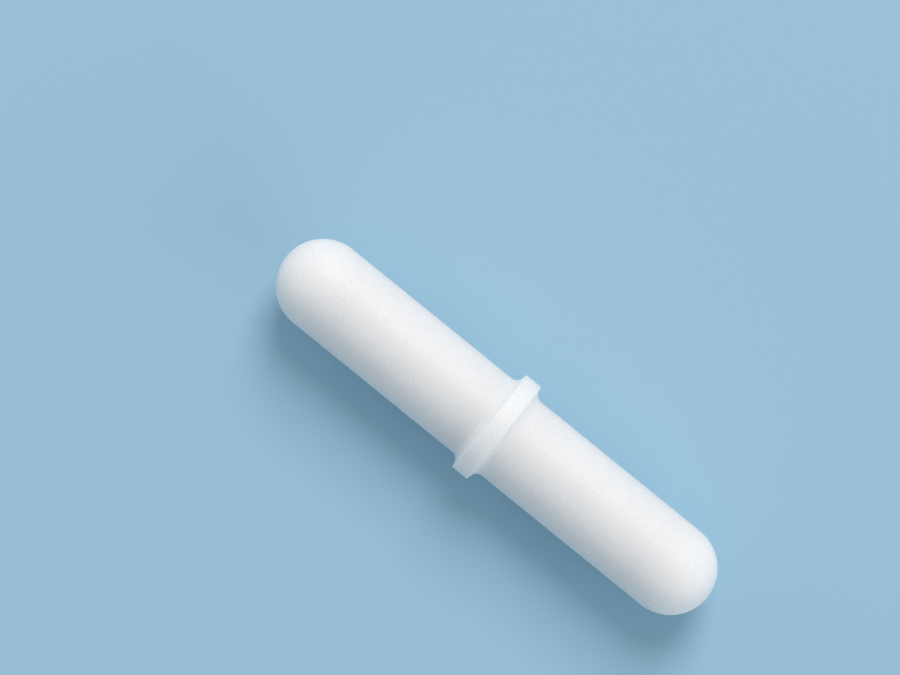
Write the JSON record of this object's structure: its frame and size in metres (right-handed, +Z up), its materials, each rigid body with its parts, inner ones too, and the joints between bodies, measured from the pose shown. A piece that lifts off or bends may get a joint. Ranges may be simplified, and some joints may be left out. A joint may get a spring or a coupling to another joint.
{
  "type": "magnetic stir bar",
  "caption": "Round-ended cylindrical magnetic stirring bar with an integral pivot ring round its middle, moulded in white PTFE over a sealed rod magnet.",
  "frame": {"origin": "centre of the pivot ring, which is also the middle of the bar", "axes": "+X along the bar's axis towards one end, +Z up, with the bar lying level"},
  "size_m": [0.0458, 0.01, 0.01],
  "materials": {
    "moulded_ptfe": "matte, as moulded and sintered",
    "cast_magnet": "as cast, with ground end faces"
  },
  "bodies": {
    "root": {"ptfe_jacket": "moulded_ptfe", "bar_magnet": "cast_magnet"}
  },
  "joints": []
}
